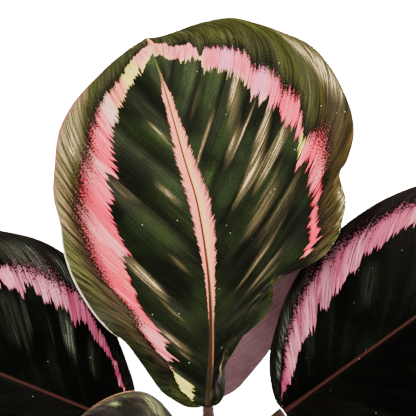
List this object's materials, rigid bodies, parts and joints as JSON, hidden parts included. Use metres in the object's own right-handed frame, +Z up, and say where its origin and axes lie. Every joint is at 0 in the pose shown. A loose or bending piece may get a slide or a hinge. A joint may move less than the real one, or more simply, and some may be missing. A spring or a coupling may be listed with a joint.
{
  "type": "potted calathea",
  "caption": "Potted calathea: broad rounded leaves with a pink ring and purple undersides on thin stalks, in soil in a plain clay pot.",
  "frame": {"origin": "centre of the pot's flat underside", "axes": "+Z up along the pot's axis, the viewer of the picture on the -Y side, +X to the viewer's right"},
  "size_m": [0.359, 0.3658, 0.403],
  "materials": {
    "clay": "matte",
    "soil": "matte",
    "leaf": "satin",
    "stalk": "satin"
  },
  "bodies": {
    "root": {"pot": "clay", "soil": "soil", "main_blade": "leaf", "main_stalk": "stalk", "left_blade": "leaf", "left_stalk": "stalk", "right_blade": "leaf", "right_stalk": "stalk", "back_blade": "leaf", "back_stalk": "stalk", "small_blade": "leaf", "small_stalk": "stalk", "front_blade": "leaf", "front_stalk": "stalk", "front_right_blade": "leaf", "front_right_stalk": "stalk", "front_left_blade": "leaf", "front_left_stalk": "stalk", "back_left_blade": "leaf", "back_left_stalk": "stalk", "back_right_blade": "leaf", "back_right_stalk": "stalk", "rear_blade": "leaf", "rear_stalk": "stalk"}
  },
  "joints": []
}
